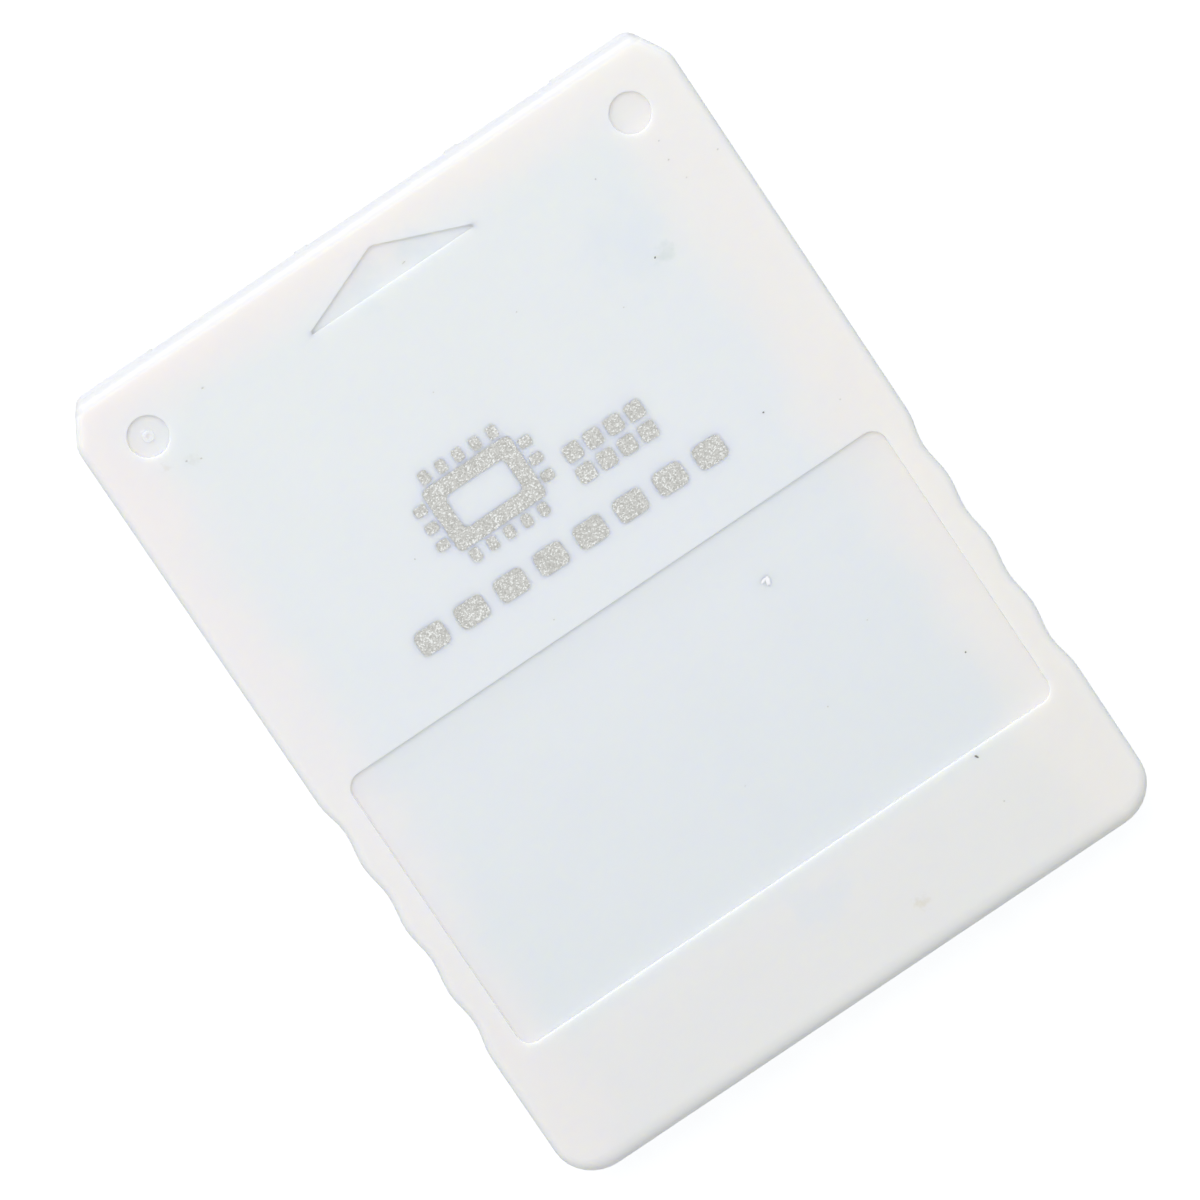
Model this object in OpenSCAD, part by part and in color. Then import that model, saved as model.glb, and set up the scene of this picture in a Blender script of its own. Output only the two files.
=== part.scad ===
// Memory card for a game console: two covers that snap together around a contact board.
// X runs across the card, +Y points to the insertion end and +Z out of the front face.
// The origin is the centre of the back face, and every size is in millimetres.

/* [Card] */
// Width across the straight sides
card_w = 42; // [40:0.1:46]
// Length from the grip end to the insertion end
card_l = 55.6; // [54:0.1:64]
// Thickness over both covers
card_t = 7.6; // [7.2:0.1:9]
// Height of the parting plane between the covers
split_z = 3.8; // [3.5:0.1:4.1]
// Thickness of the side and end walls of both covers
wall = 1.5; // [1.3:0.05:1.7]
// Thickness of the front cover behind its face
front_skin = 1.4; // [1:0.05:1.5]
// Thickness of the rear cover's floor
rear_skin = 1.2; // [0.9:0.05:1.4]

/* [Outline] */
// Insertion-end corner chamfer, along X
chamfer_x = 1.25; // [0.8:0.05:1.6]
// Insertion-end corner chamfer, along Y
chamfer_y = 2.1; // [1.4:0.05:2.6]
// Rounding where a chamfer meets the insertion end
chamfer_end_r = 0.9; // [0.6:0.05:1.3]
// Rounding where a chamfer meets a side
chamfer_side_r = 1.5; // [0.8:0.1:2.5]
// Corner radius of the grip end
grip_corner_r = 2.8; // [2:0.1:4]
// Rounding of the front face's edge along the sides and the insertion end
front_edge_r = 0.5; // [0.3:0.05:0.6]
// Rounding of the front face's edge along the grip end
grip_edge_r = 1.2; // [0.8:0.1:1.4]
// Rounding of the back face's edge
back_edge_r = 0.4; // [0.3:0.05:0.55]
// Bevel on each cover's outer edge at the parting plane
parting_bevel = 0.12; // [0.08:0.01:0.2]

/* [Finger grips] */
// Number of shallow valleys down each side
grip_count = 4; // [2:1:4]
// Distance from one valley to the next
grip_pitch = 4.6; // [3.5:0.1:5.2]
// Depth of a valley below the side
grip_depth = 0.36; // [0.2:0.02:0.45]
// Depth of the crest between two valleys
grip_crest = 0.1; // [0:0.02:0.15]
// Distance from the grip end to where the last valley runs out
grip_from_end = 9.7; // [6:0.1:12]

/* [Front face] */
// Width of the label recess
label_w = 38; // [30:0.1:39]
// Length of the label recess
label_l = 19.4; // [14:0.1:24]
// Corner radius of the label recess
label_r = 1; // [0.6:0.1:3]
// Depth of the label recess
label_depth = 0.3; // [0.15:0.05:0.5]
// Distance from the grip end to the label recess
label_from_end = 9; // [5:0.1:12]
// Width of the arrow recess along its base
arrow_w = 11.3; // [8:0.1:14]
// Height of the arrow recess from base to tip
arrow_h = 2.4; // [1.5:0.1:2.8]
// Distance from the insertion end to the arrow's base
arrow_from_end = 4.1; // [3.7:0.1:6]
// Depth of the arrow recess
arrow_depth = 0.3; // [0.15:0.05:0.5]
// Width of the blunt edge at the arrow's tip and base corners
arrow_blunt = 0.15; // [0.1:0.05:0.3]
// How far the recess walls lean out between floor and face
recess_draft = 0.1; // [0.05:0.01:0.25]
// Diameter of the round dimple over each front post
dimple_d = 2.55; // [2:0.05:3]
// Depth of the dimples
dimple_depth = 0.3; // [0.15:0.05:0.4]
// Diameter of the moulding gate's stub in the left dimple
gate_d = 0.7; // [0.5:0.05:0.9]
// Height of the gate's stub above the dimple's floor
gate_h = 0.14; // [0.06:0.02:0.2]
// Diameter of the pit that the torn gate left in its stub
gate_pit_d = 0.26; // [0.2:0.02:0.3]

/* [Closure] */
// Thickness of the rear cover's tongue
tongue_t = 0.5; // [0.4:0.05:0.6]
// Height of the tongue above the parting plane
tongue_h = 0.7; // [0.5:0.05:0.9]
// Clearance between the tongue and the front cover's rabbet
tongue_gap = 0.1; // [0.05:0.01:0.15]
// How far the front posts stand outwards of the middle between the mouth and the side wall
front_post_out = 0.15; // [0:0.05:0.3]
// Distance of the front posts from the insertion end
front_post_in_y = 3.7; // [3.5:0.05:4.5]
// Distance of the rear posts from the sides
rear_post_in_x = 4.6; // [4:0.1:6]
// Distance of the rear posts from the grip end
rear_post_in_y = 4.2; // [3.8:0.1:5]
// Diameter of a post's pin
pin_d = 2; // [1.6:0.1:2.4]
// Clearance around a pin in its socket
pin_gap = 0.06; // [0.03:0.01:0.12]
// Wall around a pin's socket
socket_wall = 0.75; // [0.6:0.05:0.85]
// How far a socket's rim stays below the parting plane
socket_drop = 0.5; // [0.3:0.1:0.8]
// Thickness of the floor left under a socket
socket_floor = 0.8; // [0.6:0.05:0.85]
// Length of a snap arm along its wall
arm_l = 4; // [3:0.1:5]
// Thickness of a snap arm
arm_t = 0.8; // [0.6:0.05:0.9]
// Height of a snap arm's barb
barb_h = 0.5; // [0.35:0.05:0.55]
// How far a barb hooks over its ledge
barb_l = 0.4; // [0.3:0.05:0.5]
// Depth of the ledge that a barb hooks over
ledge_t = 0.6; // [0.5:0.05:0.7]
// Height of the ledge
ledge_h = 0.45; // [0.35:0.05:0.5]
// Clearance between an arm or barb and its ledge
snap_gap = 0.1; // [0.05:0.01:0.15]
// Distance of the front pair of arms from the insertion end
front_arm_in = 13.8; // [12:0.1:16]
// Distance of the rear pair of arms from the grip end
rear_arm_in = 15.8; // [14:0.1:18]
// Distance of the end arms from the card's middle
end_arm_x = 7; // [5:0.1:9]

/* [Circuit board] */
// Clearance between the board's sides and the snap arms
board_side_gap = 1; // [0.6:0.1:1.4]
// Length of the board
board_l = 45; // [43:0.1:46]
// Thickness of the board
board_t = 1; // [0.8:0.05:1.2]
// Height of the board's contact side above the back face
board_z = 2; // [1.8:0.05:2.2]
// Clearance between the board and the covers
board_gap = 0.2; // [0.1:0.05:0.3]
// Diameter of the holes that locate the board
board_hole_d = 1.6; // [1.4:0.05:1.9]
// Distance of the locating holes from the board's sides
board_hole_in_x = 2.5; // [2:0.1:3]
// Distance of the locating holes from the board's rear edge
board_hole_in_y = 2; // [1.6:0.1:2.4]
// Clearance around a locating pin in its hole
board_pin_gap = 0.08; // [0.04:0.01:0.12]
// Height of a locating pin above the board
board_pin_rise = 0.6; // [0.3:0.1:1]
// Diameter of the rests under the board and of the pegs over it
hold_d = 2; // [1.6:0.1:2.2]
// Distance of the rests and pegs from the board's sides
hold_in = 1.5; // [1.3:0.1:1.8]
// Distance of the front pair of rests from the board's front edge
front_hold_in = 11; // [10:0.1:12]
// Distance of the rear pair of rests from the board's rear edge
rear_hold_in = 14; // [12:0.1:16]
// Gap between a peg and the board
hold_gap = 0.05; // [0.02:0.01:0.1]

/* [Contacts] */
// Distance from one contact to the next
contact_pitch = 3.575; // [3.4:0.025:3.6]
// Width of a contact
contact_w = 2.4; // [2:0.05:2.5]
// Length of a contact
contact_l = 5; // [4:0.1:5.2]
// Thickness of a contact's plating
contact_t = 0.1; // [0.05:0.01:0.15]
// Distance from the board's front edge to the contacts
contact_from_edge = 0.3; // [0.1:0.05:0.5]
// How far the contact mouth reaches in from the insertion end
mouth_l = 7.5; // [7:0.1:8]
// Height of the mouth where it passes through the end wall
mouth_h = 1.8; // [1.5:0.05:1.9]
// Width of the ribs between the groups of contacts
mouth_rib_w = 0.9; // [0.6:0.05:1]

/* [Flash chip] */
// Width of the body between its rows of leads
flash_w = 18.4; // [18:0.1:18.6]
// Depth of the body along its rows of leads
flash_d = 12; // [11.8:0.1:12.2]
// Thickness of the body
flash_h = 1; // [0.9:0.05:1.1]
// Width over the leads
flash_span = 20; // [19.6:0.1:20.4]
// Leads in each row
flash_lead_count = 24; // [20:1:24]
// Distance from one lead to the next
flash_pitch = 0.5; // [0.4:0.05:0.5]
// Width of a lead
flash_lead_w = 0.22; // [0.18:0.01:0.25]
// Distance of the body's centre from the board's rear edge
flash_from_rear = 8.2; // [8:0.1:9]

/* [Controller chip] */
// Side of the square body
control_w = 10; // [9:0.1:10.4]
// Thickness of the body
control_h = 1.4; // [1.2:0.05:1.6]
// Width over the leads
control_span = 12; // [11.6:0.1:12.4]
// Leads on each side
control_lead_count = 11; // [9:1:11]
// Distance from one lead to the next
control_pitch = 0.8; // [0.6:0.05:0.85]
// Width of a lead
control_lead_w = 0.35; // [0.3:0.01:0.4]
// Distance of the centre from the board's middle line
control_x = -5; // [-6:0.1:-4]
// Distance of the centre from the board's front edge
control_from_front = 15.4; // [15:0.1:17]

/* [Chip bodies and leads] */
// How far a body's sides lean in above and below its leads
body_lean = 0.12; // [0.08:0.01:0.15]
// Thickness of the chips' lead frames
lead_t = 0.15; // [0.1:0.01:0.2]
// Gap between a chip's body and the board
chip_lift = 0.1; // [0.05:0.01:0.2]

/* [Regulator and crystal] */
// Length of the regulator's body
regulator_l = 2.9; // [2.7:0.1:3.1]
// Width of the regulator's body
regulator_w = 1.3; // [1.2:0.05:1.5]
// Height of the regulator's body
regulator_h = 1; // [0.9:0.05:1.2]
// Width over the regulator's leads
regulator_span = 2.4; // [2.2:0.05:2.6]
// Distance between the two leads on one side of the regulator
regulator_pitch = 1.9; // [1.6:0.05:2]
// Width of the regulator's leads
regulator_lead_w = 0.4; // [0.3:0.05:0.5]
// Distance of the regulator and the crystal from the board's middle line
right_row_x = 9; // [8.5:0.1:10]
// Distance of the regulator from the board's front edge
regulator_from_front = 16.5; // [16:0.1:18]
// Distance of the crystal from the board's front edge
crystal_from_front = 22; // [21:0.1:24]
// Length of the crystal's ceramic base
crystal_l = 5; // [4.5:0.1:5.5]
// Width of the crystal's ceramic base
crystal_w = 3.2; // [2.8:0.1:3.6]
// Height of the crystal's ceramic base
crystal_base_h = 0.7; // [0.5:0.05:0.9]
// Height of the crystal's metal lid
crystal_lid_h = 0.4; // [0.3:0.05:0.5]
// How far the lid stays inside the base's edge
crystal_rim = 0.2; // [0.1:0.05:0.3]

/* [Small parts] */
// Length of a capacitor or resistor
chip_part_l = 1.6; // [1.4:0.05:1.8]
// Width of a capacitor or resistor
chip_part_w = 0.8; // [0.7:0.05:0.9]
// Height of a capacitor
capacitor_h = 0.8; // [0.6:0.05:0.9]
// Height of a resistor
resistor_h = 0.45; // [0.35:0.05:0.5]
// Length of each metal end
end_cap_l = 0.3; // [0.2:0.02:0.4]
// How far the metal ends stand proud of the body
end_cap_rim = 0.03; // [0.02:0.01:0.05]
// Number of capacitors in the row before the contacts
capacitor_count = 5; // [3:1:5]
// Number of resistors in the row beside the flash chip
resistor_count = 4; // [3:1:5]
// Distance from one small part to the next
chip_part_pitch = 4; // [3:0.1:4.4]
// Distance of the capacitors from the board's front edge
capacitor_from_front = 7.9; // [7.4:0.1:8.2]
// Distance of the resistors from the flash chip's body
resistor_from_flash = 1.6; // [1.2:0.1:2.4]

/* [Hidden] */
// Contacts in each group, from the left
contact_groups = [3, 3, 2];
contact_count = len([for (g = contact_groups) for (i = [1:g]) i]);

$fn = 48;
// Overlap that lets a boss or a cut run into its neighbour
bite = 0.2;
// Steps round each rounded edge, corner and valley
edge_steps = 5;
corner_steps = 8;
chamfer_steps = 3;
grip_steps = 8;

half_w = card_w / 2;
half_l = card_l / 2;
room_x = half_w - wall;
room_y = half_l - wall;
// Corner radius of the room inside, which stays mouldable behind a sharp outer corner
least_room_r = 0.4;
room_r = max(least_room_r, grip_corner_r - wall);
ceiling_z = card_t - front_skin;

white_plastic = [0.94, 0.94, 0.93];
board_green = [0.1, 0.36, 0.22];
gold_plate = [0.85, 0.68, 0.3];
black_resin = [0.1, 0.1, 0.11];
tin_plate = [0.72, 0.73, 0.74];
white_ceramic = [0.86, 0.84, 0.78];
tan_ceramic = [0.72, 0.58, 0.4];

// Angle of the chamfer's outward normal from +X
chamfer_a = atan2(chamfer_x, chamfer_y);

// Points of an arc as stations [x, y, angle of the outward normal]
function arc(x, y, r, a0, a1, steps) = [
    for (i = [0:steps])
        let (a = a0 + (a1 - a0) * i / steps)
        [x + r * cos(a), y + r * sin(a), a]
];

// The valleys down a side: p counts valleys from the top, and the crests stand a little short of the side
grip_top = grip_from_end - half_l + grip_count * grip_pitch;
function grip_base(p) = p < 0.5 || p > grip_count - 0.5 ? 0 : grip_crest;
function grip_drop(p) = grip_base(p) + (grip_depth - grip_base(p)) * (1 - cos(360 * p)) / 2;
function grip_slope(p) = (grip_depth - grip_base(p)) * PI * sin(360 * p) / grip_pitch;
function grip_stations() = [
    for (i = [0:grip_count * grip_steps])
        let (p = i / grip_steps)
        [half_w - grip_drop(p), grip_top - p * grip_pitch, -atan(grip_slope(p))]
];

// The right-hand side from the insertion end to the grip end
end_tangent = chamfer_end_r * tan((90 - chamfer_a) / 2);
side_tangent = chamfer_side_r * tan(chamfer_a / 2);
side = concat(
    arc(half_w - chamfer_x - end_tangent, half_l - chamfer_end_r, chamfer_end_r, 90, chamfer_a,
        chamfer_steps),
    arc(half_w - chamfer_side_r, half_l - chamfer_y - side_tangent, chamfer_side_r, chamfer_a, 0,
        chamfer_steps),
    grip_stations(),
    arc(half_w - grip_corner_r, grip_corner_r - half_l, grip_corner_r, 0, -90, corner_steps)
);
side_count = len(side);
ring_count = 2 * side_count;

// Share of the grip end's larger edge rounding at a station
function grip_share(s) = s[1] < grip_corner_r - half_l ? (1 - cos(2 * s[2])) / 2 : 0;
function edge_radius(s, r, end_r) = r + (end_r - r) * grip_share(s);
function set_in(s, d, z) = [s[0] - d * cos(s[2]), s[1] - d * sin(s[2]), z];
function mirrored(p) = [-p[0], p[1], p[2]];
// A closed ring: down the right-hand side and back up the left
function ring(points) = concat(
    points,
    [for (i = [side_count - 1:-1:0]) mirrored(points[i])]
);

// Rings of a cover's skin from its parting edge to its face; up is 1 for the front cover and -1 for the rear
function skin_rings(face_z, up, r, end_r) = concat(
    [ring([for (s = side) set_in(s, parting_bevel, split_z)])],
    [ring([for (s = side) set_in(s, 0, split_z + up * parting_bevel)])],
    [
        for (k = [0:edge_steps])
            let (a = 90 * k / edge_steps)
            ring([
                for (s = side)
                    let (e = edge_radius(s, r, end_r))
                    set_in(s, e * (1 - cos(a)), face_z - up * e * (1 - sin(a)))
            ])
    ]
);

// Joins rings of points into a closed skin, with flat caps built as strips across the card
module skin(rings, up) {
    points = [for (r = rings) each r];
    last = (len(rings) - 1) * ring_count;
    walls = [
        for (k = [0:len(rings) - 2])
            for (i = [0:ring_count - 1])
                let (
                    a = k * ring_count + i,
                    b = k * ring_count + (i + 1) % ring_count,
                    c = a + ring_count,
                    d = b + ring_count
                )
                each [[a, b, d], [a, d, c]]
    ];
    first_cap = [for (i = [0:side_count - 2])
        [ring_count - 1 - i, ring_count - 2 - i, i + 1, i]];
    last_cap = [for (i = [0:side_count - 2])
        [last + i, last + i + 1, last + ring_count - 2 - i, last + ring_count - 1 - i]];
    faces = concat(first_cap, walls, last_cap);
    turned = [for (f = faces) [for (i = [len(f) - 1:-1:0]) f[i]]];
    polyhedron(points, up > 0 ? faces : turned, convexity = 6);
}

// Outline of the room inside the covers, grown by d
function room_outline(d) = [
    for (q = [0:3])
        for (i = [0:corner_steps])
            let (
                a = 90 * (q + i / corner_steps),
                r = room_r + d,
                x = (q == 0 || q == 3 ? 1 : -1) * (room_x - room_r),
                y = (q < 2 ? 1 : -1) * (room_y - room_r)
            )
            [x + r * cos(a), y + r * sin(a)]
];
module room(d, z0, z1) {
    translate([0, 0, z0])
        linear_extrude(z1 - z0)
            polygon(room_outline(d));
}

// A block given by its two corners
module block(low, high) {
    translate(low)
        cube(high - low);
}
module post(x, y, z0, z1, d) {
    translate([x, y, z0])
        cylinder(h = z1 - z0, d = d);
}

// Places its children at both sides of the card
module both_sides() {
    children();
    mirror([1, 0, 0])
        children();
}

// Heights and places that the two covers share
socket_d = pin_d + 2 * pin_gap + 2 * socket_wall;
socket_z = split_z - socket_drop;
mouth_w = contact_count * contact_pitch;
front_post_x = (mouth_w / 2 + room_x) / 2 + front_post_out;
front_post = [front_post_x, half_l - front_post_in_y];
rear_post = [half_w - rear_post_in_x, rear_post_in_y - half_l];
ledge_z = split_z + tongue_h + 2 * tongue_gap;
barb_z = ledge_z + ledge_h + snap_gap;
arm_out = ledge_t + snap_gap;
front_arm_y = half_l - front_arm_in;
rear_arm_y = rear_arm_in - half_l;

// The board's width and its place, set from the insertion end
board_w = 2 * (room_x - arm_out - arm_t - board_side_gap);
board_front = room_y - board_gap;
board_rear = board_front - board_l;
board_top = board_z + board_t;
board_hole = [board_w / 2 - board_hole_in_x, board_rear + board_hole_in_y];
board_pin_d = board_hole_d - 2 * board_pin_gap;
hold_x = board_w / 2 - hold_in;
front_hold_y = board_front - front_hold_in;
rear_hold_y = board_rear + rear_hold_in;
mouth_in_y = half_l - mouth_l;

// Every snap arm as [x, y, turn], with its wall in the direction of the turned +X axis
snap_places = [
    [room_x, front_arm_y, 0],
    [room_x, rear_arm_y, 0],
    [-room_x, front_arm_y, 180],
    [-room_x, rear_arm_y, 180],
    [end_arm_x, -room_y, -90],
    [-end_arm_x, -room_y, -90]
];
module at_snaps() {
    for (p = snap_places)
        translate([p[0], p[1], 0])
            rotate(p[2])
                children();
}

// A shallow recess in the front face whose walls lean out towards the face
module recess(depth) {
    hull() {
        translate([0, 0, card_t - depth])
            linear_extrude(depth)
                children(0);
        translate([0, 0, card_t])
            linear_extrude(bite)
                children(1);
    }
}
function rounded_outline(w, l, r) = [
    for (q = [0:3])
        for (i = [0:corner_steps])
            let (
                a = 90 * (q + i / corner_steps),
                x = (q == 0 || q == 3 ? 1 : -1) * (w / 2 - r),
                y = (q < 2 ? 1 : -1) * (l / 2 - r)
            )
            [x + r * cos(a), y + r * sin(a)]
];

module label_recess() {
    translate([0, label_from_end + label_l / 2 - half_l, 0])
        recess(label_depth) {
            polygon(rounded_outline(label_w - 2 * recess_draft, label_l - 2 * recess_draft,
                label_r - recess_draft));
            polygon(rounded_outline(label_w, label_l, label_r));
        }
}

// The arrow points the way the card goes in, and its tip and base corners are slightly blunt
module arrow_outline(d) {
    tip_x = arrow_blunt + d / 2;
    base_x = arrow_w / 2 + d;
    polygon([
        [-base_x, -d],
        [base_x, -d],
        [base_x, arrow_blunt - d],
        [tip_x, arrow_h + d],
        [-tip_x, arrow_h + d],
        [-base_x, arrow_blunt - d]
    ]);
}
module arrow_recess() {
    translate([0, half_l - arrow_from_end, 0])
        recess(arrow_depth) {
            arrow_outline(-recess_draft / 2);
            arrow_outline(0);
        }
}

// Dimple with a leaning wall
module dimple() {
    floor_z = card_t - dimple_depth;
    translate([front_post[0], front_post[1], floor_z]) {
        cylinder(h = dimple_depth, d1 = dimple_d - 2 * recess_draft, d2 = dimple_d);
        translate([0, 0, dimple_depth])
            cylinder(h = bite, d = dimple_d);
    }
}
module gate_stub() {
    floor_z = card_t - dimple_depth;
    difference() {
        post(-front_post[0], front_post[1], floor_z - bite, floor_z + gate_h, gate_d);
        post(-front_post[0], front_post[1], floor_z, floor_z + gate_h + bite, gate_pit_d);
    }
}

// Boss and pin of the front cover, in line with a socket of the rear cover
module front_pin(p) {
    post(p[0], p[1], socket_z + snap_gap, ceiling_z + bite, socket_d);
    post(p[0], p[1], socket_floor + snap_gap, ceiling_z + bite, pin_d);
}

// Peg that keeps the board down on its rest
module board_peg(y) {
    post(hold_x, y, board_top + hold_gap, ceiling_z + bite, hold_d);
}

// Space for the tongue and the rear cover's wall, which also cuts back a boss that stands too near
module tongue_room() {
    difference() {
        room(tongue_t + tongue_gap, rear_skin, split_z + tongue_h + tongue_gap);
        room(-tongue_gap, 0, card_t);
    }
}

module ledge() {
    block([-ledge_t, -arm_l / 2 - snap_gap, ledge_z], [bite, arm_l / 2 + snap_gap, ledge_z + ledge_h]);
}

module front_cover() {
    color(white_plastic)
        union() {
            difference() {
                skin(skin_rings(card_t, 1, front_edge_r, grip_edge_r), 1);
                room(0, split_z - bite, ceiling_z);
                tongue_room();
                label_recess();
                arrow_recess();
                both_sides()
                    dimple();
            }
            gate_stub();
            difference() {
                both_sides() {
                    front_pin(front_post);
                    front_pin(rear_post);
                    board_peg(front_hold_y);
                    board_peg(rear_hold_y);
                }
                tongue_room();
            }
            at_snaps()
                ledge();
        }
}

// Left and right edges of the mouth's pocket over a group of contacts
function contacts_before(g) = g == 0 ? 0 : contacts_before(g - 1) + contact_groups[g - 1];
function group_low(g) = contacts_before(g) * contact_pitch - mouth_w / 2 + (g == 0 ? 0 : mouth_rib_w / 2);
function group_high(g) = contacts_before(g + 1) * contact_pitch - mouth_w / 2
    - (g == len(contact_groups) - 1 ? 0 : mouth_rib_w / 2);

module contact_mouth() {
    for (g = [0:len(contact_groups) - 1])
        block([group_low(g), mouth_in_y, -bite], [group_high(g), half_l + bite, mouth_h]);
}

// Ribs between the groups of contacts, up to just under the board
module mouth_ribs() {
    for (g = [1:len(contact_groups) - 1])
        block([group_high(g - 1), mouth_in_y - bite, rear_skin - bite],
            [group_low(g), room_y + bite, board_z - contact_t]);
}

// Rails under the board on both sides of the mouth
module mouth_rail() {
    block([mouth_w / 2 + board_gap, mouth_in_y, rear_skin - bite],
        [front_post[0] - socket_d / 2 - board_gap, board_front, board_z]);
}

module board_rest(y) {
    post(hold_x, y, rear_skin - bite, board_z, hold_d);
}
module board_pin() {
    post(board_hole[0], board_hole[1], rear_skin - bite, board_z, hold_d + board_pin_gap);
    post(board_hole[0], board_hole[1], rear_skin - bite, board_top + board_pin_rise, board_pin_d);
}

module socket(p) {
    post(p[0], p[1], rear_skin - bite, socket_z, socket_d);
}
module socket_bore(p) {
    post(p[0], p[1], socket_floor, split_z, pin_d + 2 * pin_gap);
}

// Upright arm whose barb hooks over a ledge of the front cover
module snap_arm() {
    rotate([90, 0, 0])
        linear_extrude(arm_l, center = true)
            polygon([
                [-arm_out - arm_t, rear_skin - bite],
                [-arm_out, rear_skin - bite],
                [-arm_out, barb_z],
                [barb_l - arm_out, barb_z],
                [barb_l - arm_out, barb_z + barb_h / 4],
                [-arm_out - arm_t / 4, barb_z + barb_h],
                [-arm_out - arm_t, barb_z + barb_h]
            ]);
}

module rear_cover() {
    color(white_plastic)
        difference() {
            union() {
                difference() {
                    union() {
                        skin(skin_rings(0, -1, back_edge_r, back_edge_r), -1);
                        room(tongue_t, split_z - bite, split_z + tongue_h);
                    }
                    room(0, rear_skin, split_z + tongue_h + bite);
                    contact_mouth();
                }
                mouth_ribs();
                both_sides() {
                    mouth_rail();
                    board_rest(front_hold_y);
                    board_rest(rear_hold_y);
                    board_pin();
                    socket(front_post);
                    socket(rear_post);
                }
                at_snaps()
                    snap_arm();
            }
            both_sides() {
                socket_bore(front_post);
                socket_bore(rear_post);
            }
        }
}

// The board is cut back round the front posts' sockets
notch_x = front_post[0] - socket_d / 2 - board_gap;
notch_y = front_post[1] - socket_d / 2 - board_gap;
module circuit_board() {
    color(board_green)
        difference() {
            block([-board_w / 2, board_rear, board_z], [board_w / 2, board_front, board_top]);
            both_sides() {
                block([notch_x, notch_y, board_z - bite],
                    [board_w / 2 + bite, board_front + bite, board_top + bite]);
                post(board_hole[0], board_hole[1], board_z - bite, board_top + bite, board_hole_d);
            }
        }
}

module contact_pad(i) {
    x = (i - (contact_count + 1) / 2) * contact_pitch;
    y = board_front - contact_from_edge;
    color(gold_plate)
        block([x - contact_w / 2, y - contact_l, board_z - contact_t], [x + contact_w / 2, y, board_z]);
}

// Moulded chip body whose sides lean in above and below the lead frame
module chip_body(w, d, h) {
    lead_z = chip_lift + h / 2;
    for (up = [0, 1])
        hull() {
            translate([-w / 2, -d / 2, lead_z - lead_t / 2])
                cube([w, d, lead_t]);
            translate([body_lean - w / 2, body_lean - d / 2, up == 0 ? chip_lift : lead_z])
                cube([w - 2 * body_lean, d - 2 * body_lean, h / 2]);
        }
}

// Where a lead bends down and where it lands, as shares of its reach
knee_share = 0.3;
foot_share = 0.55;
// Gull-wing lead that leaves the body at height h and ends in a flat foot on the board
module lead(reach, h, w) {
    knee = reach * knee_share;
    foot = reach * foot_share;
    rotate([90, 0, 0])
        linear_extrude(w, center = true)
            polygon([
                [0, h - lead_t / 2],
                [knee - lead_t / 2, h - lead_t / 2],
                [foot - lead_t / 2, 0],
                [reach, 0],
                [reach, lead_t],
                [foot + lead_t / 2, lead_t],
                [knee + lead_t / 2, h + lead_t / 2],
                [0, h + lead_t / 2]
            ]);
}
module lead_row(count, pitch, body, span, h, w) {
    for (i = [0:count - 1])
        translate([body / 2, (i - (count - 1) / 2) * pitch, 0])
            lead((span - body) / 2, chip_lift + h / 2, w);
}

flash_place = [0, board_rear + flash_from_rear, board_top];
module flash_chip_body() {
    color(black_resin)
        translate(flash_place)
            chip_body(flash_w, flash_d, flash_h);
}
module flash_chip_leads() {
    color(tin_plate)
        translate(flash_place)
            both_sides()
                lead_row(flash_lead_count, flash_pitch, flash_w, flash_span, flash_h, flash_lead_w);
}

control_place = [control_x, board_front - control_from_front, board_top];
module controller_chip_body() {
    color(black_resin)
        translate(control_place)
            chip_body(control_w, control_w, control_h);
}
module controller_chip_leads() {
    color(tin_plate)
        translate(control_place)
            for (turn = [0:90:270])
                rotate(turn)
                    lead_row(control_lead_count, control_pitch, control_w, control_span, control_h,
                        control_lead_w);
}

regulator_place = [right_row_x, board_front - regulator_from_front, board_top];
module regulator_body() {
    color(black_resin)
        translate(regulator_place)
            chip_body(regulator_w, regulator_l, regulator_h);
}
module regulator_leads() {
    color(tin_plate)
        translate(regulator_place) {
            lead_row(2, regulator_pitch, regulator_w, regulator_span, regulator_h, regulator_lead_w);
            rotate(180)
                lead_row(1, regulator_pitch, regulator_w, regulator_span, regulator_h,
                    regulator_lead_w);
        }
}

crystal_place = [right_row_x, board_front - crystal_from_front, board_top];
module crystal_base() {
    color(white_ceramic)
        translate(crystal_place)
            block([-crystal_l / 2, -crystal_w / 2, 0], [crystal_l / 2, crystal_w / 2, crystal_base_h]);
}
module crystal_lid() {
    lid = [crystal_l / 2 - crystal_rim, crystal_w / 2 - crystal_rim];
    color(tin_plate)
        translate(crystal_place)
            block([-lid[0], -lid[1], crystal_base_h], [lid[0], lid[1], crystal_base_h + crystal_lid_h]);
}

// Small part with a metal end at each side of its ceramic body
module chip_part(h) {
    body = [chip_part_l / 2 - end_cap_l + end_cap_rim, chip_part_w / 2 - end_cap_rim];
    block([-body[0], -body[1], end_cap_rim], [body[0], body[1], h - end_cap_rim]);
    both_sides()
        block([chip_part_l / 2 - end_cap_l, -chip_part_w / 2, 0], [chip_part_l / 2, chip_part_w / 2, h]);
}
module capacitor(i) {
    x = (i - (capacitor_count + 1) / 2) * chip_part_pitch;
    color(tan_ceramic)
        translate([x, board_front - capacitor_from_front, board_top])
            chip_part(capacitor_h);
}
module resistor(i) {
    x = (i - (resistor_count + 1) / 2) * chip_part_pitch;
    color(black_resin)
        translate([x, flash_place[1] + flash_d / 2 + resistor_from_flash, board_top])
            chip_part(resistor_h);
}

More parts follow.
